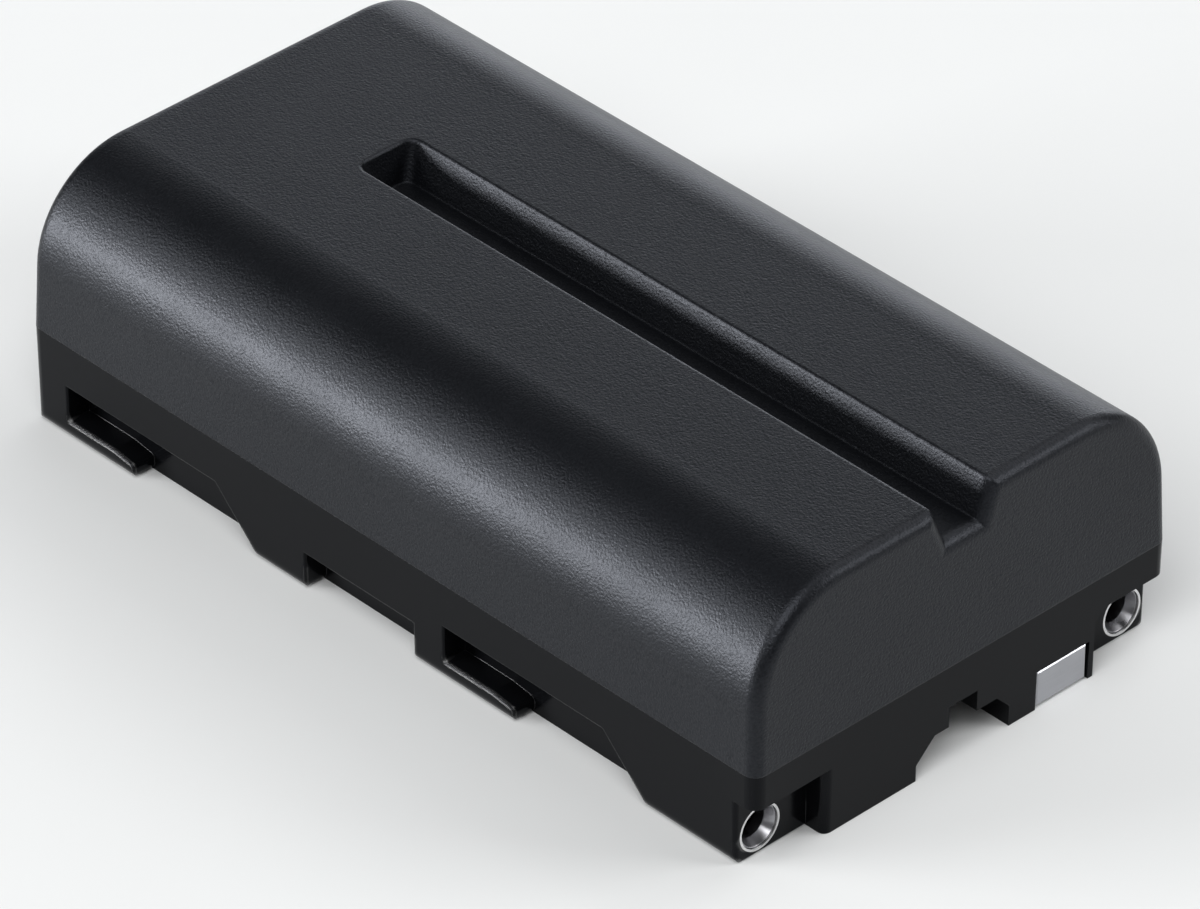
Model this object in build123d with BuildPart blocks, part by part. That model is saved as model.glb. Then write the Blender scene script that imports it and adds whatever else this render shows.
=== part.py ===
from build123d import *
import os
from math import radians, tan

# Camera battery: a two-cell rechargeable pack that slides on to rails by the slots in its base.
# All sizes are in millimetres. The origin is the middle of the underside, +X points to the
# terminal end, +Y across the pack and +Z up to the grooved cover.

# Outside of the case
length = 70.8
width = 38.4
height = 20.6
joint_height = 7.9
cover_draft = 1.95
base_draft = 0.86
long_edge_radius = 7.9
end_edge_radius = 1.0
floor_edge_radius = 0.2
side_foot_radius = 0.8
far_foot_radius = 0.65

# Walls and the lap where the two halves meet
cover_wall = 1.1
far_wall = 0.8
terminal_wall = 1.2
base_floor = 1.15
rail_wall = 1.0
lip_height = 0.7
lip_thickness = 0.55
lip_clearance = 0.05

# Finger channel along the middle of the cover
channel_depth = 2.75
channel_rim_width = 5.2
channel_floor_width = 2.95
channel_end_setback = 15.1
channel_end_slope = 0.65
channel_rim_corner = 1.1
channel_floor_corner = 0.75
channel_rim_radius = 0.25
channel_wall = 1.0

# Two round cells, side by side, head to tail
cell_side_room = 1.0
cell_height_room = 2.4
cell_lift = 0.1
cell_far_room = 1.4
cell_near_room = 4.4
wrap_thickness = 0.1
wrap_gap = 0.04
wrap_lip = 1.2
bay_clearance = 0.08
bay_end_clearance = 0.3
can_shoulder = 0.5
can_wall = 0.25
crimp_setback = 0.55
crimp_thickness = 0.3
crimp_radius = 0.2
crimp_reach = 1.9
bead_setback = 4.1
bead_depth = 0.8
bead_half_width = 0.9
bead_edge_radius = 0.5
cup_setback = 3.0
gasket_lip = 0.6
gasket_thickness = 0.4
cap_thickness = 0.5
button_radius = 3.2
button_slope = 0.8
vent_width = 1.2
vent_margin = 0.3
vent_length = 0.6
vent_count = 3
washer_thickness = 0.2
washer_inner_radius = 4.6

# Rails: hook slots, their entry ramps and a shallow notch on each long side
rail_depth = 2.0
slot_setback = 3.6
slot_pitch_ratio = 0.5346
slot_count = 2
slot_length = 15.15
slot_height = 4.3
hook_length = 6.75
hook_height = 1.5
hook_tip_height = 1.2
hook_taper_length = 2.1
hook_tip_radius = 0.4
ramp_angle = 45
ramp_radius = 1.0
foot_corner_radius = 0.6
notch_shift = 0.875
notch_length = 10.65
notch_height = 3.05

# Terminal pockets and the round sockets in them
pocket_depth = 1.8
left_pocket_width = 6.5
right_pocket_width = 6.8
pocket_height = 5.25
pocket_back_wall = 0.8
left_pocket_edge = 0.6
right_pocket_corner = 1.1
post_edge_radius = 0.35
socket_setback = 2.3
socket_level = 2.05
socket_diameter = 3.6
socket_wall = 0.17
socket_length = 6.5
socket_end_wall = 0.4
socket_fit = 0.02
socket_boss_wall = 0.4
basket_setback = 0.15
basket_clearance = 0.05
basket_bore = 2.4
basket_slit_width = 0.25
basket_slit_length = 3.6
basket_mouth_ring = 0.3
funnel_rim = 0.06
funnel_slope = 25

# Key recess under the terminal end
key_depth = 6.0
key_left = 4.25
key_left_bevel = 1.65
key_right = 4.45
key_right_bevel = 1.25
key_height = 2.92
tongue_width = 2.6
tongue_height = 4.57
key_wall = 0.8

# Shallow field on the underside
field_far_setback = 2.4
field_near_setback = 8.4
field_side_setback = 3.2
field_depth = 0.2
field_corner_radius = 1.5

# Contact plate in the terminal end, one bent strip with its tail
plate_pocket_distance = 2.95
plate_width = 4.8
plate_bottom = 0.1
plate_top = 3.0
plate_thickness = 0.35
plate_bevel = 0.18
plate_setback = 0.06
plate_clearance = 0.1
tail_width = 1.5
tail_thickness = 0.3
tail_level = 2.1
tail_foot_height = 2.6
tail_slot_clearance = 0.1

# Strips, insulation and wire
strip_thickness = 0.15
strip_width = 7.0
strip_reach = 3.3
strip_corner = 1.0
strip_tab_width = 5.0
strip_tab_drop = 2.5
strip_tab_rise = 5.8
strip_stub = 0.4
middle_tab_width = 3.0
middle_tab_margin = 0.3
far_pad_thickness = 0.2
far_pad_margin = 0.5
sheet_thickness = 0.2
sheet_gap = 0.05
wire_radius = 0.6
wire_rise = 3.45
slot_clearance = 0.1

# Circuit board and what is soldered to it
board_thickness = 0.8
board_gap = 0.05
board_side_margin = 3.2
board_floor_gap = 0.15
board_top_margin = 2.0
board_corner_radius = 5.0
board_clearance = 0.2
thermistor_radius = 0.65
thermistor_length = 4.0
thermistor_drop = 3.5
thermistor_setback = 3.2
lead_radius = 0.2
lead_spacing = 0.9
lead_hole_clearance = 0.1
tab_thickness = 0.2
tab_offset = 1.7
tab_width = 1.5
tab_saddle_width = 0.4
tab_height = 6.6
tab_lowest = 2.7
chip_standoff = 0.1
chip_leg_thickness = 0.15
chip_leg_width = 0.35
chip_leg_length = 0.7
chip_leg_pitch = 1.0
chip_thickness = 1.0

# Chips: name, centre across the board and above the middle of the cells, body width and height
chips = [
    ("protection_ic", (-5.0, 3.1), 2.9, 3.0),
    ("mosfet_pair", (4.5, 2.1), 4.4, 4.0),
]

# Blocks: name, centres placed in the same way, width, height and thickness
blocks = [
    ("sense_resistor", [(4.5, -2.0)], 4.6, 2.4, 0.6),
    ("chip_capacitors", [(-9.5, 2.6), (-9.5, 0.8), (-9.5, -1.0)], 1.6, 0.8, 0.8),
    ("chip_resistors", [(-6.8, 0.0), (-6.8, -1.4), (-3.8, 0.0), (-3.8, -1.4)], 1.6, 0.8, 0.45),
    ("fuse", [(11.2, -0.8)], 3.2, 1.8, 0.9),
]

# Worked out from the sizes above
half_length = length / 2
half_width = width / 2
channel_end_x = -half_length + channel_end_setback
cell_diameter = min(half_width - cell_side_room, height - cell_height_room)
cell_length = length - cell_far_room - cell_near_room
cell_level = height / 2 + cell_lift
cell_far_x = -half_length + cell_far_room
crimp_height = cell_length - crimp_setback
bead_height = cell_length - bead_setback
cup_height = cell_length - cup_setback
cap_height = crimp_height - crimp_thickness - gasket_thickness
can_radius = cell_diameter / 2
cup_radius = can_radius - can_wall
crimp_opening = can_radius - crimp_reach
wrap_radius = can_radius + wrap_thickness
cell_offset = wrap_radius + wrap_gap / 2
cell_near_x = cell_far_x + cell_length
bay_radius = wrap_radius + bay_clearance
cavity_far_x = -half_length + far_wall
cavity_near_x = half_length - terminal_wall
cavity_length = cavity_near_x - cavity_far_x
cavity_middle_x = (cavity_near_x + cavity_far_x) / 2
cavity_width = width - 2 * cover_wall
shelf_height = pocket_height + rail_wall
rail_plane = half_width - rail_depth
pocket_plane_x = half_length - pocket_depth
left_pocket_y = -half_width + left_pocket_width
right_pocket_y = half_width - right_pocket_width
pocket_wall_x = pocket_plane_x - pocket_back_wall
socket_offset = half_width - socket_setback
socket_radius = socket_diameter / 2
socket_bore_radius = socket_radius - socket_wall
basket_radius = socket_bore_radius - basket_clearance
basket_mouth_x = pocket_plane_x - basket_setback
basket_length = socket_length - socket_end_wall - basket_setback
funnel_radius = basket_radius - funnel_rim
funnel_depth = (funnel_radius - basket_bore / 2) / tan(radians(funnel_slope))
slit_front_x = basket_mouth_x - funnel_depth - basket_mouth_ring
socket_rear_x = pocket_plane_x - socket_length
boss_radius = socket_radius + socket_boss_wall
plate_offset = right_pocket_y - plate_pocket_distance
field_length = length - field_far_setback - field_near_setback
field_middle_x = (field_far_setback - field_near_setback) / 2
field_width = 2 * (rail_plane - field_side_setback)
wire_level = cell_level + wire_rise
thermistor_level = cell_level - thermistor_drop
board_width = width - 2 * board_side_margin
board_bottom = base_floor + board_floor_gap
board_top = height - board_top_margin
sheet_rear_x = cell_near_x + strip_thickness + sheet_gap
sheet_front_x = sheet_rear_x + sheet_thickness
board_rear_x = sheet_front_x + board_gap
board_front_x = board_rear_x + board_thickness
strip_leg_level = cell_level + strip_tab_rise - strip_thickness / 2
foot_inset = joint_height * tan(radians(base_draft))
plate_face_x = half_length - foot_inset - plate_setback
plate_back_x = plate_face_x - plate_thickness
slot_start_x = -half_length + slot_setback
slot_pitch = slot_pitch_ratio * length
slot_places = [slot_start_x + index * slot_pitch for index in range(slot_count)]
ramp_feet = [place + slot_length + slot_height / tan(radians(ramp_angle)) for place in slot_places]
notch_middle_x = (ramp_feet[0] + slot_places[1]) / 2 + notch_shift
notch_start_x = notch_middle_x - notch_length / 2
foot_corners = [notch_start_x, notch_start_x + notch_length] + [place + hook_length for place in slot_places]
beyond = 2.0
skin = 0.01
near_distance = 0.3

os.makedirs("parts", exist_ok=True)
finished = []


def finish(builder, label):
    """Labels a finished piece and keeps it for writing."""
    builder.part.label = label
    finished.append(builder.part)


def across(x):
    """The plane across the pack at x: its own x is +Y and its own y is +Z."""
    return Plane.YZ.offset(x)


def cell_points():
    """Centres of the two cells on a plane across the pack."""
    return [(-cell_offset, cell_level), (cell_offset, cell_level)]


def socket_points():
    """Centres of the two terminal sockets on a plane across the pack."""
    return [(-socket_offset, socket_level), (socket_offset, socket_level)]


def channel_body(extra):
    """The space of the finger channel, larger all round by extra and open above and at the end."""
    side_slope = (channel_rim_width - channel_floor_width) / 2 / channel_depth
    end_slope = channel_end_slope / channel_depth
    stop_x = half_length + beyond
    with BuildPart() as body:
        levels = ((-channel_depth - extra, channel_floor_corner), (beyond, channel_rim_corner))
        for level, corner in levels:
            half = channel_rim_width / 2 + side_slope * level + extra
            start_x = channel_end_x - end_slope * level - extra
            with BuildSketch(Plane.XY.offset(height + level)):
                with Locations(((start_x + stop_x) / 2, 0)):
                    RectangleRounded(stop_x - start_x, 2 * half, corner)
        loft()
    return body.part


# The key recess across the pack: a low trapezoid with a narrow groove in its roof, open downwards
key_outline = [
    (-key_left, -beyond),
    (-key_left, key_height - key_left_bevel),
    (-key_left + key_left_bevel, key_height),
    (-tongue_width / 2, key_height),
    (-tongue_width / 2, tongue_height),
    (tongue_width / 2, tongue_height),
    (tongue_width / 2, key_height),
    (key_right - key_right_bevel, key_height),
    (key_right, key_height - key_right_bevel),
    (key_right, -beyond),
]


def key_body(extra):
    """The space of the key recess, larger by extra in its outline and its depth."""
    with BuildPart() as body:
        with BuildSketch(across(half_length - key_depth - extra)):
            with BuildLine():
                Polyline(*key_outline, close=True)
            make_face()
            if extra:
                offset(amount=extra, kind=Kind.INTERSECTION)
        extrude(amount=key_depth + extra + beyond)
    return body.part


def uprights(builder):
    """Edges of a piece being built that stand up, or nearly so."""
    return builder.edges().filter_by(lambda edge: abs((edge % 0.5).Z) > 0.9)


def near(edges, x, y):
    """Those edges whose middle is close to one place in plan."""
    edges = edges.filter_by(lambda edge: abs((edge @ 0.5).X - x) < near_distance)
    return edges.filter_by(lambda edge: abs((edge @ 0.5).Y - y) < near_distance)


def foot_ends(builder, places):
    """Edges across the bottom of both rails at the given places along the pack."""
    edges = builder.faces().sort_by(Axis.Z)[0].edges().filter_by(Axis.Y)
    edges = edges.filter_by(lambda edge: abs((edge @ 0.5).Y) > rail_plane)
    return edges.filter_by(lambda edge: min(abs((edge @ 0.5).X - place) for place in places) < skin)


# Room for the wrapped cells
with BuildPart() as bays:
    with BuildSketch(across(cell_far_x - bay_end_clearance)):
        with Locations(*cell_points()):
            Circle(bay_radius)
    extrude(amount=cell_length + 2 * bay_end_clearance)

# Hollow of the upper case, with the underside of the channel left standing in it
with BuildPart() as cover_hollow:
    with BuildSketch(Plane.XY.offset(joint_height)):
        with Locations((cavity_middle_x, 0)):
            Rectangle(cavity_length, cavity_width)
    extrude(amount=height - cover_wall - joint_height, taper=cover_draft)
    fillet(cover_hollow.edges().filter_by(Axis.X).group_by(Axis.Z)[-1], long_edge_radius - cover_wall)
    add(channel_body(channel_wall), mode=Mode.SUBTRACT)
    add(bays.part)

# Upper case: textured shell with a big radius along each side and the finger channel on top
with BuildPart() as upper_case:
    with BuildSketch(Plane.XY.offset(joint_height)):
        Rectangle(length, width)
    extrude(amount=height - joint_height, taper=cover_draft)
    fillet(upper_case.edges().filter_by(Axis.X).group_by(Axis.Z)[-1], long_edge_radius)
    add(channel_body(0), mode=Mode.SUBTRACT)
    for end in (0, -1):
        end_outline = upper_case.faces().sort_by(Axis.X)[end].edges()
        fillet([edge for edge in end_outline if (edge @ 0.5).Z > joint_height + skin], end_edge_radius)
    top_outline = upper_case.faces().filter_by(Axis.Z).sort_by(Axis.Z)[-1].edges()
    rim = [edge for edge in top_outline if abs((edge @ 0.5).Y) < channel_rim_width / 2 + skin]
    fillet([edge for edge in rim if (edge @ 0.5).X > channel_end_x - skin], channel_rim_radius)
    add(cover_hollow.part, mode=Mode.SUBTRACT)
    with BuildSketch(Plane.XY.offset(joint_height)):
        with Locations((cavity_middle_x, 0)):
            Rectangle(
                cavity_length + 2 * (lip_thickness + lip_clearance),
                cavity_width + 2 * (lip_thickness + lip_clearance),
            )
    extrude(amount=lip_height + lip_clearance, mode=Mode.SUBTRACT)
finish(upper_case, "upper_case")

# Hollow of the lower case: wide above the rails, narrow between them
with BuildPart() as base_hollow:
    with BuildSketch(Plane.XY.offset(shelf_height)):
        with Locations((cavity_middle_x, 0)):
            Rectangle(cavity_length, cavity_width)
    extrude(amount=joint_height + lip_height + beyond - shelf_height)
    with BuildSketch(Plane.XY.offset(base_floor)):
        with Locations(((cavity_far_x + pocket_wall_x) / 2, 0)):
            Rectangle(pocket_wall_x - cavity_far_x, 2 * (rail_plane - rail_wall))
        with Locations((cavity_middle_x, 0)):
            Rectangle(cavity_length, 2 * (right_pocket_y - rail_wall))
    extrude(amount=shelf_height - base_floor)
    with BuildSketch(across(socket_rear_x - pocket_back_wall)):
        with Locations(*socket_points()):
            Circle(boss_radius)
            Rectangle(2 * boss_radius, socket_level + beyond, align=(Align.CENTER, Align.MAX))
    extrude(amount=board_front_x - socket_rear_x + pocket_back_wall, mode=Mode.SUBTRACT)
    add(key_body(key_wall), mode=Mode.SUBTRACT)
    add(bays.part)

# What is cut out of the two long sides: hook slots with their entry ramps, and the notches
with BuildPart() as rail_cuts:
    for slot_x in slot_places:
        hook_tip_x = slot_x + hook_length
        ramp_top_x = slot_x + slot_length
        ramp_run = (slot_height + beyond) / tan(radians(ramp_angle))
        with BuildSketch(Plane.XZ.offset(rail_plane)) as slot_profile:
            with BuildLine():
                Polyline(
                    (slot_x, hook_height),
                    (slot_x, slot_height),
                    (ramp_top_x, slot_height),
                    (ramp_top_x + ramp_run, -beyond),
                    (hook_tip_x, -beyond),
                    (hook_tip_x, hook_tip_height),
                    (hook_tip_x - hook_taper_length, hook_height),
                    close=True,
                )
            make_face()
            tip_corners = slot_profile.vertices().filter_by(
                lambda corner: abs(corner.X - hook_tip_x) < skin and corner.Y > 0
            )
            fillet(tip_corners, hook_tip_radius)
        extrude(amount=rail_depth + beyond)
    with BuildSketch(Plane.XZ.offset(rail_plane)):
        with Locations((notch_start_x, notch_height)):
            Rectangle(notch_length, notch_height + beyond, align=(Align.MIN, Align.MAX))
    extrude(amount=rail_depth + beyond)
    mirror(about=Plane.XZ)

# What is cut out of the two corners of the terminal end
with BuildPart() as pocket_cuts:
    with BuildSketch(across(pocket_plane_x)) as pocket_profile:
        with Locations((left_pocket_y, pocket_height)):
            Rectangle(left_pocket_width + beyond, pocket_height + beyond, align=(Align.MAX, Align.MAX))
        with Locations((right_pocket_y, pocket_height)):
            Rectangle(right_pocket_width + beyond, pocket_height + beyond, align=(Align.MIN, Align.MAX))
        inner_corners = pocket_profile.vertices().filter_by(
            lambda corner: abs(corner.X - right_pocket_y) < skin and corner.Y > 0
        )
        fillet(inner_corners, right_pocket_corner)
    extrude(amount=pocket_depth + beyond)

# Rounding of the long bottom edges, and of the bottom edge at the far end
with BuildPart() as foot_rounding:
    with BuildSketch(across(-half_length - beyond)) as side_section:
        with BuildLine():
            Polyline(
                (-half_width, joint_height),
                (-half_width + foot_inset, 0),
                (half_width - foot_inset, 0),
                (half_width, joint_height),
                close=True,
            )
        make_face()
        fillet(side_section.vertices().group_by(Axis.Y)[0], side_foot_radius)
    extrude(amount=length + 2 * beyond)
    with BuildSketch(Plane.XZ.offset(half_width + beyond)) as end_section:
        with BuildLine():
            Polyline(
                (-half_length, joint_height),
                (-half_length + foot_inset, 0),
                (half_length + beyond, 0),
                (half_length + beyond, joint_height),
                close=True,
            )
        make_face()
        fillet(end_section.vertices().sort_by(Axis.X)[1:2], far_foot_radius)
    extrude(amount=-width - 2 * beyond, mode=Mode.INTERSECT)

# Lower case: smooth tray with the rails, terminal pockets and key recess
with BuildPart() as lower_case:
    with BuildSketch(Plane.XY.offset(joint_height)):
        RectangleRounded(length, width, end_edge_radius)
    extrude(amount=joint_height, dir=(0, 0, -1), taper=base_draft)
    add(rail_cuts.part, mode=Mode.SUBTRACT)
    fillet(foot_ends(lower_case, ramp_feet), ramp_radius)
    fillet(foot_ends(lower_case, foot_corners), foot_corner_radius)
    add(pocket_cuts.part, mode=Mode.SUBTRACT)
    for side in (-1, 1):
        fillet(near(uprights(lower_case), pocket_plane_x, side * half_width), post_edge_radius)
    fillet(near(uprights(lower_case), half_length, left_pocket_y), left_pocket_edge)
    sides = lower_case.faces().filter_by(lambda face: abs(face.center().Y) > rail_plane + skin)
    sides = sides.filter_by(lambda face: abs(face.normal_at().Y) > 0.99)
    outline = [edge for face in sides for edge in face.edges() if (edge @ 0.5).Z < joint_height - skin]
    outline = [edge for edge in outline if abs((edge @ 0.5).X) < pocket_plane_x - post_edge_radius - skin]
    fillet(outline, floor_edge_radius)
    add(foot_rounding.part, mode=Mode.INTERSECT)
    add(key_body(0), mode=Mode.SUBTRACT)
    with BuildSketch(across(plate_face_x - plate_thickness)):
        with Locations((plate_offset, plate_top + plate_clearance)):
            Rectangle(
                plate_width + 2 * plate_clearance,
                plate_top + plate_clearance + beyond,
                align=(Align.CENTER, Align.MAX),
            )
    extrude(amount=plate_thickness + beyond, mode=Mode.SUBTRACT)
    with BuildSketch(Plane.XY.offset(field_depth)):
        with Locations((field_middle_x, 0)):
            RectangleRounded(field_length, field_width, field_corner_radius)
    extrude(amount=-field_depth - beyond, mode=Mode.SUBTRACT)
    with BuildSketch(across(socket_rear_x)):
        with Locations(*socket_points()):
            Circle(socket_radius + socket_fit)
    extrude(amount=socket_length + beyond, mode=Mode.SUBTRACT)
    with BuildSketch(across(plate_back_x - terminal_wall - beyond)):
        with Locations((plate_offset, tail_level)):
            Rectangle(tail_width + 2 * tail_slot_clearance, tail_thickness + 2 * tail_slot_clearance)
    extrude(amount=terminal_wall + 2 * beyond, mode=Mode.SUBTRACT)
    with BuildSketch(Plane.XY.offset(joint_height)):
        with Locations((cavity_middle_x, 0)):
            Rectangle(cavity_length + 2 * lip_thickness, cavity_width + 2 * lip_thickness)
    extrude(amount=lip_height)
    add(base_hollow.part, mode=Mode.SUBTRACT)
finish(lower_case, "lower_case")

# Two sealed round cells; the left one has its button at the terminal end, the right one is reversed
for side, hand in ((-1, "left"), (1, "right")):
    start_x = cell_far_x if side < 0 else cell_near_x
    start_point = (start_x, side * cell_offset, cell_level)
    profile_plane = Plane(origin=start_point, x_dir=(-side, 0, 0), z_dir=(0, side, 0))
    cell_axis = Axis(start_point, (-side, 0, 0))

    # Steel can with its winding, open cup under the crimp
    with BuildPart() as cell_can:
        with BuildSketch(profile_plane) as can_profile:
            with BuildLine():
                Polyline(
                    (0, 0),
                    (0, can_radius),
                    (bead_height - bead_half_width, can_radius),
                    (bead_height, can_radius - bead_depth),
                    (bead_height + bead_half_width, can_radius),
                    (crimp_height, can_radius),
                    (crimp_height, crimp_opening),
                    (crimp_height - crimp_thickness, crimp_opening),
                    (crimp_height - crimp_thickness, cup_radius),
                    (cup_height, cup_radius),
                    (cup_height, 0),
                    close=True,
                )
            make_face()
            bead_corners = can_profile.vertices()
            bead_corners = bead_corners.filter_by(lambda corner: corner.Y > can_radius - bead_depth - skin)
            bead_corners = bead_corners.filter_by(
                lambda corner: abs(corner.X - bead_height) < bead_half_width + skin
            )
            fillet(bead_corners, bead_edge_radius)
        revolve(axis=cell_axis)
        for end, radius in ((0, can_shoulder), (crimp_height, crimp_radius)):
            end_x = start_x - side * end
            rims = cell_can.edges().filter_by(GeomType.CIRCLE)
            rims = rims.filter_by(lambda edge: abs(edge.center().X - end_x) < skin)
            fillet(rims.filter_by(lambda edge: edge.radius > can_radius - skin), radius)
    finish(cell_can, f"cell_can_{hand}")

    # Plastic gasket folded round the edge of the cap
    with BuildPart() as cell_gasket:
        with BuildSketch(profile_plane):
            with BuildLine():
                Polyline(
                    (cup_height, crimp_opening - gasket_lip),
                    (cup_height, cup_radius),
                    (crimp_height - crimp_thickness, cup_radius),
                    (crimp_height - crimp_thickness, crimp_opening - gasket_lip),
                    (cap_height, crimp_opening - gasket_lip),
                    (cap_height, cup_radius - gasket_thickness),
                    (cap_height - cap_thickness, cup_radius - gasket_thickness),
                    (cap_height - cap_thickness, crimp_opening - gasket_lip),
                    close=True,
                )
            make_face()
        revolve(axis=cell_axis)
    finish(cell_gasket, f"cell_gasket_{hand}")

    # Pressed steel cap with a raised button and vents in its slope
    with BuildPart() as cell_cap:
        with BuildSketch(profile_plane):
            with BuildLine():
                Polyline(
                    (cap_height - cap_thickness, cup_radius - gasket_thickness),
                    (cap_height, cup_radius - gasket_thickness),
                    (cap_height, button_radius + button_slope),
                    (cell_length, button_radius),
                    (cell_length, 0),
                    (cell_length - cap_thickness, 0),
                    (cell_length - cap_thickness, button_radius - cap_thickness),
                    (cap_height - cap_thickness, button_radius + button_slope - cap_thickness),
                    close=True,
                )
            make_face()
        revolve(axis=cell_axis)
        with BuildSketch(across(start_x - side * (cap_height + vent_margin))):
            with Locations((side * cell_offset, cell_level)):
                with PolarLocations(button_radius, vent_count):
                    Rectangle(2 * button_slope + cap_thickness, vent_width)
        extrude(amount=-side * vent_length, mode=Mode.SUBTRACT)
    finish(cell_cap, f"cell_cap_{hand}")

    # Paper washer on the crimp
    with BuildPart() as cell_washer:
        with BuildSketch(across(start_x - side * crimp_height)):
            with Locations((side * cell_offset, cell_level)):
                Circle(can_radius - crimp_radius)
                Circle(washer_inner_radius, mode=Mode.SUBTRACT)
        extrude(amount=-side * washer_thickness)
    finish(cell_washer, f"cell_washer_{hand}")

    # Shrink sleeve, folded over the washer
    with BuildPart() as cell_wrap:
        with BuildSketch(profile_plane):
            with BuildLine():
                Polyline(
                    (can_shoulder, can_radius),
                    (can_shoulder, wrap_radius),
                    (crimp_height + washer_thickness + wrap_thickness, wrap_radius),
                    (crimp_height + washer_thickness + wrap_thickness, wrap_radius - wrap_lip),
                    (crimp_height + washer_thickness, wrap_radius - wrap_lip),
                    (crimp_height + washer_thickness, can_radius),
                    close=True,
                )
            make_face()
        revolve(axis=cell_axis)
    finish(cell_wrap, f"cell_wrap_{hand}")

# Series strip over the far ends of both cells, with a tab for the sense wire
with BuildPart() as series_strip:
    with BuildSketch(across(cell_far_x)):
        with Locations((0, cell_level)):
            RectangleRounded(2 * (cell_offset + strip_reach), strip_width, strip_corner)
        with Locations((0, cell_level)):
            tab_top = wire_level + wire_radius + middle_tab_margin
            Rectangle(middle_tab_width, tab_top - cell_level, align=(Align.CENTER, Align.MIN))
    extrude(amount=-strip_thickness)
finish(series_strip, "series_strip")

# Foam pad between the series strip and the end of the case
with BuildPart() as far_end_pad:
    with BuildSketch(across(cell_far_x - strip_thickness)):
        with Locations((0, cell_level)):
            Rectangle(2 * (cell_offset + strip_reach - far_pad_margin), strip_width - 2 * far_pad_margin)
    extrude(amount=-far_pad_thickness)
finish(far_end_pad, "far_end_pad")

# Strips from the near ends of the cells, bent through the insulating sheet into the board
for side, label in ((-1, "positive_strip"), (1, "negative_strip")):
    with BuildPart() as end_strip:
        with BuildSketch(across(cell_near_x)):
            with Locations((side * cell_offset, cell_level - strip_tab_drop)):
                Rectangle(strip_tab_width, strip_tab_drop + strip_tab_rise, align=(Align.CENTER, Align.MIN))
        extrude(amount=strip_thickness)
        with BuildSketch(across(cell_near_x)):
            with Locations((side * cell_offset, strip_leg_level)):
                Rectangle(strip_tab_width, strip_thickness)
        extrude(amount=board_front_x + strip_stub - cell_near_x)
    finish(end_strip, label)

# Sense wire in the groove between the two cells
with BuildPart() as sense_wire:
    with BuildSketch(across(cell_far_x)):
        with Locations((0, wire_level)):
            Circle(wire_radius)
    extrude(amount=board_rear_x - cell_far_x)
finish(sense_wire, "sense_wire")

# Outline shared by the insulating sheet and the circuit board: clear of the socket bosses, the key
# block and the underside of the channel, with slots for the two strips
with BuildSketch() as board_outline:
    with Locations((0, board_bottom)):
        Rectangle(board_width, board_top - board_bottom, align=(Align.CENTER, Align.MIN))
    fillet(board_outline.vertices().group_by(Axis.Y)[-1], board_corner_radius)
    with Locations(*socket_points()):
        Circle(boss_radius + board_clearance, mode=Mode.SUBTRACT)
        Rectangle(
            2 * (boss_radius + board_clearance),
            socket_level + beyond,
            align=(Align.CENTER, Align.MAX),
            mode=Mode.SUBTRACT,
        )
    with Locations((-cell_offset, strip_leg_level), (cell_offset, strip_leg_level)):
        Rectangle(
            strip_tab_width + 2 * slot_clearance,
            strip_thickness + 2 * slot_clearance,
            mode=Mode.SUBTRACT,
        )

# Insulating sheet between the cells and the board
with BuildPart() as insulating_sheet:
    with BuildSketch(across(sheet_rear_x)):
        add(board_outline.sketch)
        with Locations((0, wire_level)):
            Circle(wire_radius + slot_clearance, mode=Mode.SUBTRACT)
        with Locations((0, thermistor_level)):
            SlotCenterToCenter(lead_spacing, 2 * (lead_radius + lead_hole_clearance), mode=Mode.SUBTRACT)
    extrude(amount=sheet_thickness)
    add(key_body(key_wall + board_clearance), mode=Mode.SUBTRACT)
    add(channel_body(channel_wall + board_clearance), mode=Mode.SUBTRACT)
finish(insulating_sheet, "insulating_sheet")

# Circuit board
with BuildPart() as circuit_board:
    with BuildSketch(across(board_rear_x)):
        add(board_outline.sketch)
        with Locations((-lead_spacing / 2, thermistor_level), (lead_spacing / 2, thermistor_level)):
            Circle(lead_radius + lead_hole_clearance, mode=Mode.SUBTRACT)
    extrude(amount=board_thickness)
    add(key_body(key_wall + board_clearance), mode=Mode.SUBTRACT)
    add(channel_body(channel_wall + board_clearance), mode=Mode.SUBTRACT)
finish(circuit_board, "circuit_board")

# Thermistor bead in the lower groove between the cells, with two leads into the board
with BuildPart() as thermistor:
    with BuildSketch(across(board_rear_x - thermistor_setback - thermistor_length)):
        with Locations((0, thermistor_level)):
            Circle(thermistor_radius)
    extrude(amount=thermistor_length)
    fillet(thermistor.edges().filter_by(GeomType.CIRCLE), thermistor_radius / 2)
    with BuildSketch(across(board_rear_x - thermistor_setback - thermistor_length / 2)):
        with Locations((-lead_spacing / 2, thermistor_level), (lead_spacing / 2, thermistor_level)):
            Circle(lead_radius)
    extrude(amount=thermistor_setback + thermistor_length / 2 + board_thickness + strip_stub)
finish(thermistor, "thermistor")

# Two chips with legs on the front of the board
for label, (offset_y, offset_z), body_width, body_height in chips:
    middle = (offset_y, cell_level + offset_z)
    leg_count = round(body_height / chip_leg_pitch)
    with BuildPart() as chip:
        with BuildSketch(across(board_front_x + chip_standoff)):
            with Locations(middle):
                Rectangle(body_width, body_height)
        extrude(amount=chip_thickness)
        chamfer(chip.edges().group_by(Axis.X)[-1], chip_standoff)
        with BuildSketch(across(board_front_x)):
            with Locations(middle):
                with GridLocations(body_width + chip_leg_length, chip_leg_pitch, 2, leg_count):
                    Rectangle(chip_leg_length, chip_leg_width)
        extrude(amount=chip_leg_thickness)
    finish(chip, label)

# Small blocks on the front of the board
for label, places, block_width, block_height, block_thickness in blocks:
    with BuildPart() as block:
        with BuildSketch(across(board_front_x)):
            with Locations(*[(offset_y, cell_level + offset_z) for offset_y, offset_z in places]):
                Rectangle(block_width, block_height)
        extrude(amount=block_thickness)
    finish(block, label)

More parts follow.
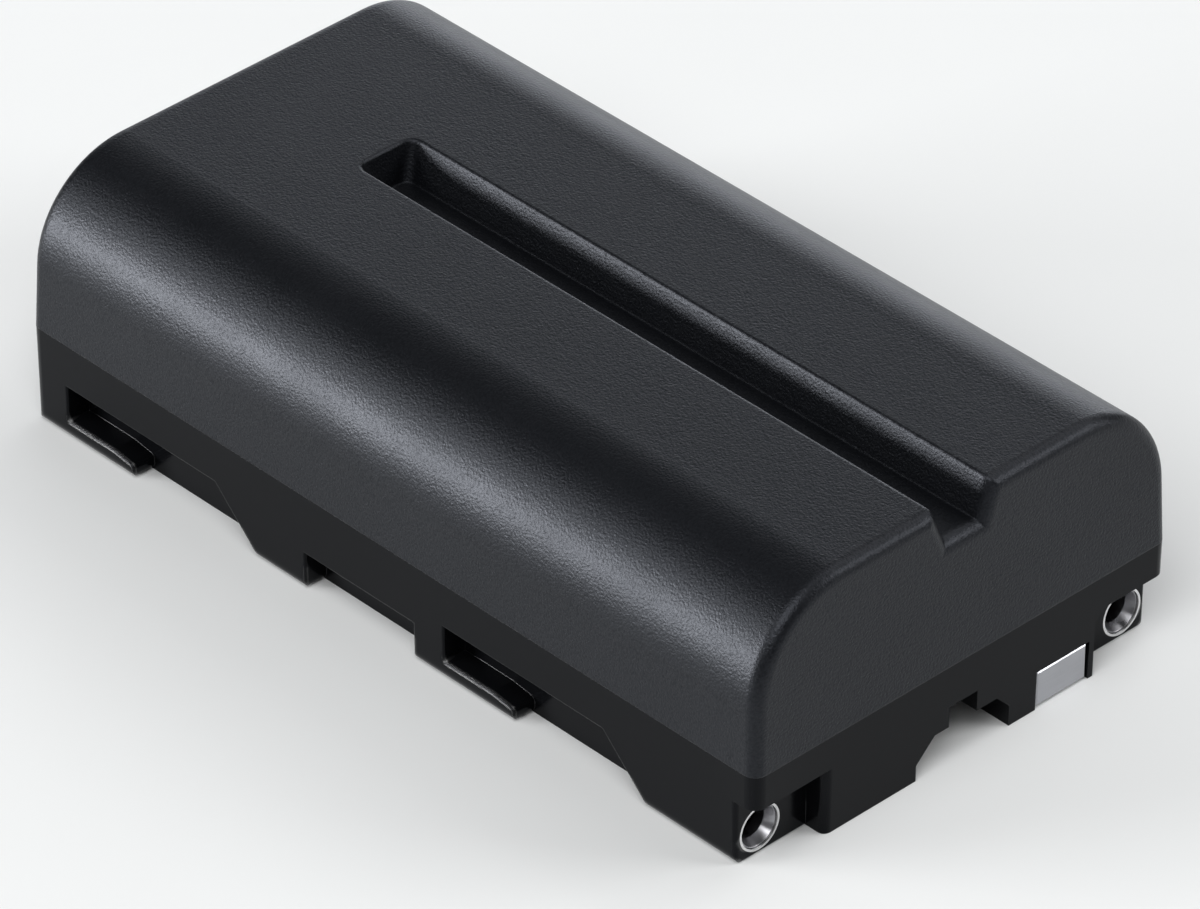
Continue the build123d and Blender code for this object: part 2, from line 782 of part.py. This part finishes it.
# Terminal sockets, the split spring baskets with funnel mouths in them, and their solder tabs
for side, pole in ((-1, "positive"), (1, "negative")):
    middle = (side * socket_offset, socket_level)
    with BuildPart() as terminal_socket:
        with BuildSketch(across(socket_rear_x)):
            with Locations(middle):
                Circle(socket_radius)
        extrude(amount=socket_length)
        with BuildSketch(across(socket_rear_x + socket_end_wall)):
            with Locations(middle):
                Circle(socket_bore_radius)
        extrude(amount=socket_length, mode=Mode.SUBTRACT)
    finish(terminal_socket, f"terminal_socket_{pole}")

    with BuildPart() as contact_basket:
        with BuildSketch(across(socket_rear_x + socket_end_wall)):
            with Locations(middle):
                Circle(basket_radius)
                Circle(basket_bore / 2, mode=Mode.SUBTRACT)
        extrude(amount=basket_length)
        with BuildSketch(across(basket_mouth_x)):
            with Locations(middle):
                Circle(funnel_radius)
        extrude(amount=funnel_depth, dir=(-1, 0, 0), taper=funnel_slope, mode=Mode.SUBTRACT)
        with BuildSketch(across(slit_front_x - basket_slit_length)):
            with Locations(middle):
                Rectangle(socket_diameter, basket_slit_width)
                Rectangle(basket_slit_width, socket_diameter)
        extrude(amount=basket_slit_length, mode=Mode.SUBTRACT)
    finish(contact_basket, f"contact_basket_{pole}")

    with BuildPart() as terminal_tab:
        saddle_radius = socket_radius + tab_thickness
        for outer_radius, thickness in ((tab_height, tab_thickness), (saddle_radius, tab_saddle_width)):
            with BuildSketch(across(board_front_x)):
                with Locations((side * (socket_offset - tab_offset), tab_lowest)):
                    Rectangle(tab_width, tab_height - tab_lowest, align=(Align.CENTER, Align.MIN))
                with Locations(middle):
                    Circle(outer_radius, mode=Mode.INTERSECT)
                    Circle(socket_radius, mode=Mode.SUBTRACT)
            extrude(amount=thickness)
    finish(terminal_tab, f"terminal_tab_{pole}")

# Data contact: a bevelled plate in the end face on a bent tail that stands on the board
with BuildPart() as data_contact:
    with BuildSketch(across(plate_back_x)):
        with Locations((plate_offset, plate_bottom)):
            Rectangle(plate_width, plate_top - plate_bottom, align=(Align.CENTER, Align.MIN))
    extrude(amount=plate_thickness)
    chamfer(data_contact.edges().group_by(Axis.X)[-1], plate_bevel)
    with BuildSketch(across(board_front_x)):
        with Locations((plate_offset, tail_level)):
            Rectangle(tail_width, tail_thickness)
    extrude(amount=plate_back_x - board_front_x)
    with BuildSketch(across(board_front_x)):
        with Locations((plate_offset, tail_level - tail_thickness / 2)):
            Rectangle(tail_width, tail_foot_height, align=(Align.CENTER, Align.MIN))
    extrude(amount=tail_thickness)
finish(data_contact, "data_contact")

for piece in finished:
    export_step(piece, f"parts/{piece.label}.step")
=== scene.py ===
from math import cos, radians, sin

import bpy
from mathutils import Matrix, Vector

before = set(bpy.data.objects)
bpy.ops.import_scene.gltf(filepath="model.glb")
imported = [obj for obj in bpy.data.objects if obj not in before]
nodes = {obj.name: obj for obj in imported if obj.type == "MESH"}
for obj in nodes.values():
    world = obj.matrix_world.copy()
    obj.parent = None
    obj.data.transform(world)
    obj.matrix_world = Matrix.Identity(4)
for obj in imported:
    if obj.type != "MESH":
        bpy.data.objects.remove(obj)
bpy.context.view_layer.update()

# --- Upper case -----------------------------------------------------------------------------------
# Injection-moulded ABS shell, charcoal, with a fine leather grain etched into the mould on the
# outside. It is dropped on to the lower case and bonded along the lapped joint.
charcoal_dark, charcoal_light = (0.0019, 0.0022, 0.0029), (0.0025, 0.0028, 0.0037)
charcoal_roughness = (0.38, 0.42)
charcoal_shine = 0.35
charcoal_tint = (0.83, 0.88, 1.0, 1.0)
fine_bumps_per_metre = 5800.0
pebbles_per_metre = 5000.0
pebble_height = 0.25
grain_depth = 0.000033
# Share of near-black metal in the grain's pits, as painted shade there
pit_shade_share = 0.34
cover_edge_radius = 0.0002
noise_low, noise_high = 0.3, 0.7


def make(tree, kind, inputs=None, **settings):
    """Adds a node to a tree; an input that is an output socket is linked, any other value is set."""
    made = tree.nodes.new(kind)
    for key, value in settings.items():
        setattr(made, key, value)
    for key, value in (inputs or {}).items():
        if isinstance(value, bpy.types.NodeSocket):
            tree.links.new(value, made.inputs[key])
        else:
            made.inputs[key].default_value = value
    return made


def ranged(tree, value, start, end, low, high):
    """Carries a value between start and end over to the range from low to high, and no farther."""
    return make(tree, "ShaderNodeMapRange", {0: value, 1: start, 2: end, 3: low, 4: high}).outputs[0]


def scaled(tree, value, factor, added):
    """A value times a factor, plus another value."""
    return make(tree, "ShaderNodeMath", {0: value, 1: factor, 2: added}, operation="MULTIPLY_ADD").outputs[0]


def paint(material, *names):
    """Puts one material on the CAD nodes of these names."""
    for name in names:
        mesh = nodes[name].data
        mesh.materials.clear()
        mesh.materials.append(material)


def start_material(name):
    """An empty node material: its tree, its object coordinates and its output node."""
    material = bpy.data.materials.new(name)
    material.use_nodes = True
    tree = material.node_tree
    tree.nodes.clear()
    coords = make(tree, "ShaderNodeTexCoord").outputs["Object"]
    output = make(tree, "ShaderNodeOutputMaterial")
    return material, tree, coords, output


# Leather grain: small uneven bumps with pebbles among them; gives a height
grain = bpy.data.node_groups.new("leather_grain", "ShaderNodeTree")
grain.interface.new_socket("Coordinates", in_out="INPUT", socket_type="NodeSocketVector")
grain.interface.new_socket("Pebbles per metre", in_out="INPUT", socket_type="NodeSocketFloat")
grain.interface.new_socket("Height", in_out="OUTPUT", socket_type="NodeSocketFloat")
grain_in = make(grain, "NodeGroupInput")
grain_out = make(grain, "NodeGroupOutput")
grain_cells = make(grain, "ShaderNodeTexVoronoi", {
    "Vector": grain_in.outputs["Coordinates"],
    "Scale": grain_in.outputs["Pebbles per metre"],
    "Smoothness": 0.4,
}, feature="SMOOTH_F1")
grain_bumps = make(grain, "ShaderNodeTexNoise", {
    "Vector": grain_in.outputs["Coordinates"],
    "Scale": fine_bumps_per_metre,
    "Detail": 1.5,
    "Roughness": 0.6,
})
grain_pebbles = scaled(grain, grain_cells.outputs["Distance"], -pebble_height, pebble_height)
grain_height = scaled(grain, grain_bumps.outputs[0], 1.0, grain_pebbles)
grain.links.new(grain_height, grain_out.inputs["Height"])

# Slow unevenness of a moulded or plated surface; gives a value that wanders between Low and High
drift = bpy.data.node_groups.new("slow_drift", "ShaderNodeTree")
drift.interface.new_socket("Coordinates", in_out="INPUT", socket_type="NodeSocketVector")
drift.interface.new_socket("Per metre", in_out="INPUT", socket_type="NodeSocketFloat")
drift.interface.new_socket("Low", in_out="INPUT", socket_type="NodeSocketFloat")
drift.interface.new_socket("High", in_out="INPUT", socket_type="NodeSocketFloat")
drift.interface.new_socket("Value", in_out="OUTPUT", socket_type="NodeSocketFloat")
drift_in = make(drift, "NodeGroupInput")
drift_out = make(drift, "NodeGroupOutput")
drift_noise = make(drift, "ShaderNodeTexNoise", {
    "Vector": drift_in.outputs["Coordinates"],
    "Scale": drift_in.outputs["Per metre"],
    "Detail": 3.0,
})
drift_value = ranged(
    drift, drift_noise.outputs[0], noise_low, noise_high, drift_in.outputs["Low"], drift_in.outputs["High"])
drift.links.new(drift_value, drift_out.inputs["Value"])


def drifting(tree, coords, per_metre, low, high):
    """A value that wanders slowly between low and high."""
    group = make(tree, "ShaderNodeGroup", node_tree=drift)
    tree.links.new(coords, group.inputs["Coordinates"])
    group.inputs["Per metre"].default_value = per_metre
    group.inputs["Low"].default_value = low
    group.inputs["High"].default_value = high
    return group.outputs["Value"]


def two_tone(tree, factor, dark, light):
    """A colour between dark and light."""
    mixed = make(tree, "ShaderNodeMix", {0: factor}, data_type="RGBA")
    mixed.inputs[6].default_value = (*dark, 1.0)
    mixed.inputs[7].default_value = (*light, 1.0)
    return mixed.outputs[2]


def drifting_colour(tree, coords, per_metre, dark, light):
    """A colour that wanders slowly between dark and light."""
    return two_tone(tree, drifting(tree, coords, per_metre, 0.0, 1.0), dark, light)


upper_case, tree, coords, output = start_material("grained_charcoal")
grained = make(tree, "ShaderNodeGroup", node_tree=grain)
tree.links.new(coords, grained.inputs["Coordinates"])
grained.inputs["Pebbles per metre"].default_value = pebbles_per_metre
rounded = make(tree, "ShaderNodeBevel", {"Radius": cover_edge_radius}, samples=4)
bump = make(tree, "ShaderNodeBump", {
    "Strength": 1.0, "Distance": grain_depth, "Height": grained.outputs["Height"], "Normal": rounded.outputs[0],
})
# Painted shade in the grain's pits: a share of near-black metal there makes them mirror less than the crests
painted_pit_shade = ranged(tree, grained.outputs["Height"], noise_low, noise_high, pit_shade_share, 0.0)
plastic = make(tree, "ShaderNodeBsdfPrincipled", {
    "Base Color": drifting_colour(tree, coords, 60.0, charcoal_dark, charcoal_light),
    "Metallic": painted_pit_shade,
    "Roughness": drifting(tree, coords, 150.0, *charcoal_roughness),
    "Specular IOR Level": charcoal_shine,
    "Specular Tint": charcoal_tint,
    "Normal": bump.outputs["Normal"],
})
tree.links.new(plastic.outputs[0], output.inputs["Surface"])
paint(upper_case, "upper_case")

# --- Lower case -----------------------------------------------------------------------------------
# Injection-moulded ABS tray, black, from a polished mould: smooth, with a dark satin gloss. Rails,
# hooks and terminal pockets are part of it; the hooks' lips are rounded and rubbed bright in use.
black_dark, black_light = (0.0028, 0.0030, 0.0036), (0.0036, 0.0038, 0.0044)
black_roughness = (0.14, 0.19)
black_shine = 0.10
black_tint = (0.88, 0.92, 1.0, 1.0)
lip_inner, lip_outer = 0.0180, 0.0186
lip_top, body_bottom = 0.0018, 0.0024
inner_edge_radius, lip_edge_radius = 0.00010, 0.00052
body_edge_share = 0.04
rub_start, rub_full = 0.985, 0.90
rubbed_extra_roughness = 0.234
rubbed_gloss_ior = 2.09
rubbed_gloss_roughness = 0.36
lower_case, tree, coords, output = start_material("smooth_black")
parted = make(tree, "ShaderNodeSeparateXYZ", {"Vector": coords})
across = make(tree, "ShaderNodeMath", {0: parted.outputs["Y"]}, operation="ABSOLUTE").outputs[0]
side_radius = ranged(tree, across, lip_inner, lip_outer, inner_edge_radius, lip_edge_radius)
low_share = ranged(tree, parted.outputs["Z"], lip_top, body_bottom, 1.0, body_edge_share)
radius = make(tree, "ShaderNodeMath", {0: side_radius, 1: low_share}, operation="MULTIPLY").outputs[0]
rounded = make(tree, "ShaderNodeBevel", {"Radius": radius}, samples=12)
flat = make(tree, "ShaderNodeNewGeometry").outputs["True Normal"]
bent = make(tree, "ShaderNodeVectorMath", {0: rounded.outputs[0], 1: flat}, operation="DOT_PRODUCT")
worn = ranged(tree, bent.outputs["Value"], rub_start, rub_full, 0.0, radius)
rubbed = scaled(tree, worn, 1.0 / lip_edge_radius, 0.0)
ripple = make(tree, "ShaderNodeTexNoise", {"Vector": coords, "Scale": 1400.0, "Detail": 2.0})
bump = make(tree, "ShaderNodeBump", {
    "Strength": 0.35, "Distance": 0.000004, "Height": ripple.outputs[0], "Normal": rounded.outputs[0],
})
plastic = make(tree, "ShaderNodeBsdfPrincipled", {
    "Base Color": drifting_colour(tree, coords, 45.0, black_dark, black_light),
    "Roughness": scaled(tree, rubbed, rubbed_extra_roughness, drifting(tree, coords, 120.0, *black_roughness)),
    "Specular IOR Level": black_shine,
    "Specular Tint": black_tint,
    "Normal": bump.outputs["Normal"],
    "Coat Weight": rubbed,
    "Coat Roughness": rubbed_gloss_roughness,
    "Coat IOR": rubbed_gloss_ior,
    "Coat Normal": bump.outputs["Normal"],
})
tree.links.new(plastic.outputs[0], output.inputs["Surface"])
paint(lower_case, "lower_case")

# --- Terminal sockets and their spring baskets ----------------------------------------------------
# Drawn tubes of nickel-plated brass pressed into the corner pockets. Inside each is a slit bronze
# basket that grips the pin, plated bright; deeper in, its colour turns near black as painted shade.
nickel_dark, nickel_light = (0.74, 0.74, 0.74), (0.84, 0.84, 0.84)


def streaked(tree, coords, per_metre, detail):
    """Noise drawn out into streaks; per_metre gives its fineness along X, Y and Z."""
    drawn = make(tree, "ShaderNodeMapping", {"Vector": coords, "Scale": per_metre})
    noise = make(tree, "ShaderNodeTexNoise", {"Vector": drawn.outputs[0], "Scale": 1.0, "Detail": detail})
    return noise.outputs[0]


nickel, tree, coords, output = start_material("bright_nickel")
streaks = streaked(tree, coords, (200.0, 9000.0, 9000.0), 2.0)
bump = make(tree, "ShaderNodeBump", {"Strength": 0.2, "Distance": 0.000003, "Height": streaks})
metal = make(tree, "ShaderNodeBsdfPrincipled", {
    "Base Color": drifting_colour(tree, coords, 500.0, nickel_dark, nickel_light),
    "Metallic": 1.0,
    "Roughness": drifting(tree, coords, 700.0, 0.30, 0.42),
    "Normal": bump.outputs["Normal"],
})
tree.links.new(metal.outputs[0], output.inputs["Surface"])
paint(nickel, "terminal_socket_positive", "terminal_socket_negative")

# Painted shade: the basket's plated colour gives way to near black from the mouth inwards
basket_painted_shade, basket_plated = (0.030, 0.030, 0.032), (0.40, 0.40, 0.42)
painted_shade_full, painted_shade_gone = 0.03175, 0.03205
spring, tree, coords, output = start_material("plated_spring")
parted = make(tree, "ShaderNodeSeparateXYZ", {"Vector": coords})
unshaded_share = ranged(tree, parted.outputs["X"], painted_shade_full, painted_shade_gone, 0.0, 1.0)
unshaded_drift = make(tree, "ShaderNodeMath", {
    0: drifting(tree, coords, 800.0, 0.86, 1.0), 1: unshaded_share}, operation="MULTIPLY")
metal = make(tree, "ShaderNodeBsdfPrincipled", {
    "Base Color": two_tone(tree, unshaded_drift.outputs[0], basket_painted_shade, basket_plated),
    "Metallic": 1.0,
    "Roughness": drifting(tree, coords, 900.0, 0.25, 0.38),
})
tree.links.new(metal.outputs[0], output.inputs["Surface"])
paint(spring, "contact_basket_positive", "contact_basket_negative")

# --- Data contact ---------------------------------------------------------------------------------
# A strip of nickel-plated copper bent into a foot, a tail and a plate; the plate's edges are coined
# to a bevel and its face is brushed along the strip.
plate_dark, plate_light = (0.39, 0.395, 0.42), (0.45, 0.455, 0.48)
plate, tree, coords, output = start_material("brushed_nickel")
lines = streaked(tree, coords, (9000.0, 500.0, 12000.0), 3.0)
bump = make(tree, "ShaderNodeBump", {"Strength": 0.3, "Distance": 0.000002, "Height": lines})
metal = make(tree, "ShaderNodeBsdfPrincipled", {
    "Base Color": two_tone(tree, lines, plate_dark, plate_light),
    "Metallic": 1.0,
    "Roughness": drifting(tree, coords, 600.0, 0.32, 0.42),
    "Normal": bump.outputs["Normal"],
})
tree.links.new(metal.outputs[0], output.inputs["Surface"])
paint(plate, "data_contact")

# --- Cells ----------------------------------------------------------------------------------------
# Two sealed lithium-ion cells: drawn steel can, nickel plated, with a crimped-in cap, a plastic
# gasket, a paper washer on the crimp and a shrink sleeve over all.
can_dark, can_light = (0.42, 0.42, 0.41), (0.56, 0.56, 0.55)
steel, tree, coords, output = start_material("plated_steel")
rings = streaked(tree, coords, (4000.0, 300.0, 300.0), 2.0)
metal = make(tree, "ShaderNodeBsdfPrincipled", {
    "Base Color": two_tone(tree, rings, can_dark, can_light),
    "Metallic": 1.0,
    "Roughness": drifting(tree, coords, 200.0, 0.25, 0.40),
})
tree.links.new(metal.outputs[0], output.inputs["Surface"])
paint(steel, "cell_can_left", "cell_can_right", "cell_cap_left", "cell_cap_right")

gasket_dark, gasket_light = (0.30, 0.34, 0.37), (0.36, 0.40, 0.43)
gasket, tree, coords, output = start_material("gasket_nylon")
plastic = make(tree, "ShaderNodeBsdfPrincipled", {
    "Base Color": drifting_colour(tree, coords, 400.0, gasket_dark, gasket_light),
    "Roughness": 0.4,
})
tree.links.new(plastic.outputs[0], output.inputs["Surface"])
paint(gasket, "cell_gasket_left", "cell_gasket_right")

washer_dark, washer_light = (0.66, 0.65, 0.60), (0.80, 0.79, 0.75)
washer, tree, coords, output = start_material("washer_paper")
fibres = make(tree, "ShaderNodeTexNoise", {"Vector": coords, "Scale": 3000.0, "Detail": 4.0})
paper = make(tree, "ShaderNodeBsdfPrincipled", {
    "Base Color": two_tone(tree, fibres.outputs[0], washer_dark, washer_light),
    "Roughness": 0.9,
})
tree.links.new(paper.outputs[0], output.inputs["Surface"])
paint(washer, "cell_washer_left", "cell_washer_right")

sleeve_dark, sleeve_light = (0.03, 0.20, 0.27), (0.05, 0.26, 0.33)
wrap, tree, coords, output = start_material("shrink_film")
film = make(tree, "ShaderNodeBsdfPrincipled", {
    "Base Color": drifting_colour(tree, coords, 90.0, sleeve_dark, sleeve_light),
    "Roughness": drifting(tree, coords, 260.0, 0.25, 0.38),
})
tree.links.new(film.outputs[0], output.inputs["Surface"])
paint(wrap, "cell_wrap_left", "cell_wrap_right")

# --- Strips and solder tabs -----------------------------------------------------------------------
# Pure nickel strip cut and bent by hand, spot-welded to the cells; short tabs of the same strip are
# soldered between the board and the sockets.
strip_dark, strip_light = (0.46, 0.45, 0.42), (0.58, 0.57, 0.54)
strip, tree, coords, output = start_material("nickel_strip")
lines = streaked(tree, coords, (300.0, 300.0, 5000.0), 2.0)
metal = make(tree, "ShaderNodeBsdfPrincipled", {
    "Base Color": two_tone(tree, lines, strip_dark, strip_light),
    "Metallic": 1.0,
    "Roughness": drifting(tree, coords, 300.0, 0.3, 0.45),
})
tree.links.new(metal.outputs[0], output.inputs["Surface"])
paint(strip, "series_strip", "positive_strip", "negative_strip", "terminal_tab_positive", "terminal_tab_negative")

# --- Far-end pad ----------------------------------------------------------------------------------
# A piece of closed-cell foam tape stuck over the series strip, so that the cells don't rattle.
foam_dark, foam_light = (0.02, 0.02, 0.02), (0.05, 0.05, 0.05)
foam, tree, coords, output = start_material("foam_tape")
pores = make(tree, "ShaderNodeTexVoronoi", {"Vector": coords, "Scale": 5000.0}).outputs["Distance"]
bump = make(tree, "ShaderNodeBump", {"Strength": 0.6, "Distance": 0.00003, "Height": pores})
rubber = make(tree, "ShaderNodeBsdfPrincipled", {
    "Base Color": two_tone(tree, pores, foam_dark, foam_light),
    "Roughness": 0.9,
    "Normal": bump.outputs["Normal"],
})
tree.links.new(rubber.outputs[0], output.inputs["Surface"])
paint(foam, "far_end_pad")

# --- Sense wire -----------------------------------------------------------------------------------
# Stranded wire in red silicone, laid in the groove between the cells and soldered at both ends.
sleeve_red_dark, sleeve_red_light = (0.36, 0.02, 0.015), (0.45, 0.03, 0.02)
wire, tree, coords, output = start_material("wire_silicone")
rubber = make(tree, "ShaderNodeBsdfPrincipled", {
    "Base Color": drifting_colour(tree, coords, 300.0, sleeve_red_dark, sleeve_red_light),
    "Roughness": 0.5,
})
tree.links.new(rubber.outputs[0], output.inputs["Surface"])
paint(wire, "sense_wire")

# --- Insulating sheet -----------------------------------------------------------------------------
# Stamped vulcanised-fibre sheet between the ends of the cells and the board.
fibre_dark, fibre_light = (0.20, 0.25, 0.22), (0.28, 0.33, 0.29)
fibre, tree, coords, output = start_material("fibre_sheet")
fibres = make(tree, "ShaderNodeTexNoise", {"Vector": coords, "Scale": 2500.0, "Detail": 4.0})
paper = make(tree, "ShaderNodeBsdfPrincipled", {
    "Base Color": two_tone(tree, fibres.outputs[0], fibre_dark, fibre_light),
    "Roughness": 0.85,
})
tree.links.new(paper.outputs[0], output.inputs["Surface"])
paint(fibre, "insulating_sheet")

# --- Circuit board and its components -------------------------------------------------------------
# Glass-fibre laminate with copper tracks under green solder mask; moulded chips, ceramic capacitors,
# thick-film resistors and a ceramic fuse are soldered to its front, the thermistor bead to its back.
mask_dark, mask_light = (0.012, 0.10, 0.04), (0.03, 0.19, 0.08)
board, tree, coords, output = start_material("solder_mask")
tracks = make(tree, "ShaderNodeTexBrick", {"Vector": coords, "Scale": 350.0, "Mortar Size": 0.06})
mask = make(tree, "ShaderNodeBsdfPrincipled", {
    "Base Color": two_tone(tree, tracks.outputs["Fac"], mask_dark, mask_light),
    "Roughness": drifting(tree, coords, 400.0, 0.25, 0.35),
})
tree.links.new(mask.outputs[0], output.inputs["Surface"])
paint(board, "circuit_board")

epoxy_dark, epoxy_light = (0.012, 0.012, 0.013), (0.03, 0.03, 0.032)
epoxy, tree, coords, output = start_material("moulded_epoxy")
speckle = make(tree, "ShaderNodeTexNoise", {"Vector": coords, "Scale": 9000.0, "Detail": 2.0})
bump = make(tree, "ShaderNodeBump", {"Strength": 0.4, "Distance": 0.00001, "Height": speckle.outputs[0]})
resin = make(tree, "ShaderNodeBsdfPrincipled", {
    "Base Color": two_tone(tree, speckle.outputs[0], epoxy_dark, epoxy_light),
    "Roughness": 0.55,
    "Normal": bump.outputs["Normal"],
})
tree.links.new(resin.outputs[0], output.inputs["Surface"])
paint(epoxy, "protection_ic", "mosfet_pair")

ceramics = {
    "capacitor_ceramic": (("chip_capacitors",), (0.38, 0.24, 0.13), (0.46, 0.30, 0.17)),
    "film_resistor": (("chip_resistors", "sense_resistor"), (0.02, 0.02, 0.02), (0.045, 0.045, 0.045)),
    "fuse_ceramic": (("fuse",), (0.62, 0.62, 0.58), (0.74, 0.74, 0.70)),
    "coated_bead": (("thermistor",), (0.03, 0.026, 0.02), (0.06, 0.05, 0.04)),
}
for name, (pieces, dark, light) in ceramics.items():
    fired, tree, coords, output = start_material(name)
    clay = make(tree, "ShaderNodeBsdfPrincipled", {
        "Base Color": drifting_colour(tree, coords, 1500.0, dark, light),
        "Roughness": 0.45,
    })
    tree.links.new(clay.outputs[0], output.inputs["Surface"])
    paint(fired, *pieces)

# --- Floor ----------------------------------------------------------------------------------------
# A wide sheet of pale matte card under the battery, a hair below its underside. It reaches so far
# that it fills the background of the photo's view.
card_dark, card_light = (0.80, 0.81, 0.81), (0.81, 0.82, 0.82)
floor_reach = 6.0
floor_gap = 0.00002
floor_corners = [
    (-floor_reach, -floor_reach, 0), (floor_reach, -floor_reach, 0),
    (floor_reach, floor_reach, 0), (-floor_reach, floor_reach, 0),
]
floor_mesh = bpy.data.meshes.new("floor")
floor_mesh.from_pydata(floor_corners, [], [(0, 1, 2, 3)])
floor = bpy.data.objects.new("floor", floor_mesh)
bpy.context.scene.collection.objects.link(floor)
floor.location = (0, 0, -floor_gap)
floor_paint, tree, coords, output = start_material("pale_floor")
card = make(tree, "ShaderNodeBsdfPrincipled", {
    "Base Color": drifting_colour(tree, coords, 30.0, card_dark, card_light),
    "Roughness": 0.9,
    "Specular IOR Level": 0.0,
})
tree.links.new(card.outputs[0], output.inputs["Surface"])
floor_mesh.materials.append(floor_paint)

# --- Lights ---------------------------------------------------------------------------------------
# Soft boxes on stands: a low strip and a weaker box over it at the left for the sheen along the
# rounded side, a big one over the camera, two behind for the far edge, and three at the right and
# above for the channel and the terminal end's top edge.

# Each has its direction from the battery, its distance and its two sides in metres, and its watts
lights = {
    "back_panel": ((-0.70, 0.55, 0.45), 0.5, (0.40, 0.25), 0.25),
    "back_glow": ((-0.60, 0.79, 0.10), 1.2, (0.80, 0.22), 2.4),
    "left_strip": ((-0.60, -0.79, 0.105), 1.0, (0.50, 0.20), 10.3),
    "left_glow": ((-0.58, -0.66, 0.50), 1.0, (0.50, 0.30), 2.0),
    "front_fill": ((0.30, -0.52, 0.82), 1.4, (1.00, 1.00), 13.6),
    "right_box": ((0.60, 0.58, 0.46), 1.0, (0.45, 0.40), 3.7),
    "side_box": ((0.0, 0.67, 0.74), 1.0, (0.70, 0.50), 1.5),
    "overhead": ((0.10, 0.35, 1.0), 1.0, (0.50, 0.50), 1.2),
}
cool_white = (0.92, 0.95, 1.0)
cool_lights = ("back_panel", "back_glow")
middle = Vector((0, 0, 0.010))
for name, (direction, distance, size, watts) in lights.items():
    lamp = bpy.data.lights.new(name, "AREA")
    lamp.shape = "RECTANGLE"
    lamp.size, lamp.size_y = size
    lamp.energy = watts
    if name in cool_lights:
        lamp.color = cool_white
    holder = bpy.data.objects.new(name, lamp)
    bpy.context.scene.collection.objects.link(holder)
    holder.location = middle + Vector(direction).normalized() * distance
    holder.rotation_euler = (holder.location - middle).to_track_quat("Z", "Y").to_euler()

# A pale surround behind the floor's rim, and a weak fill that reaches the battery from all sides
surround_colour = (0.90, 0.91, 0.91, 1.0)
fill_colour, fill_strength = (0.95, 0.98, 1.0, 1.0), 0.03
world = bpy.data.worlds.new("studio")
world.use_nodes = True
tree = world.node_tree
tree.nodes.clear()
path = make(tree, "ShaderNodeLightPath")
seen = make(tree, "ShaderNodeBackground", {"Color": surround_colour, "Strength": 1.0})
fill = make(tree, "ShaderNodeBackground", {"Color": fill_colour, "Strength": fill_strength})
both = make(tree, "ShaderNodeMixShader", {0: path.outputs["Is Camera Ray"], 1: fill.outputs[0], 2: seen.outputs[0]})
make(tree, "ShaderNodeOutputWorld", {"Surface": both.outputs[0]})
bpy.context.scene.world = world
bpy.context.scene.view_settings.view_transform = "Standard"

# --- Camera ---------------------------------------------------------------------------------------
# A long lens from the front right and above, as in the photo; the numbers come from fitting a
# pinhole camera to the outline of the battery.
turn, rise, roll = radians(46.19), radians(35.605), radians(0.2143)
camera_distance, camera_aside, camera_above = 0.609786, 0.000662, -0.003649
aim_height = 0.0103
focal_pixels, picture_pixels = 9077.2, 1200
back = Vector((sin(turn) * cos(rise), -cos(turn) * cos(rise), sin(rise)))
level = Vector((cos(turn), sin(turn), 0))
upward = back.cross(level)
right = cos(roll) * level + sin(roll) * upward
top = -sin(roll) * level + cos(roll) * upward
lens = bpy.data.cameras.new("camera")
lens.sensor_width = 36.0
lens.lens = focal_pixels / picture_pixels * lens.sensor_width
lens.clip_start = 0.01
camera = bpy.data.objects.new("camera", lens)
bpy.context.scene.collection.objects.link(camera)
spot = Vector((0, 0, aim_height)) + back * camera_distance + right * camera_aside + top * camera_above
camera.matrix_world = Matrix.Translation(spot) @ Matrix((right, top, back)).transposed().to_4x4()
bpy.context.scene.camera = camera
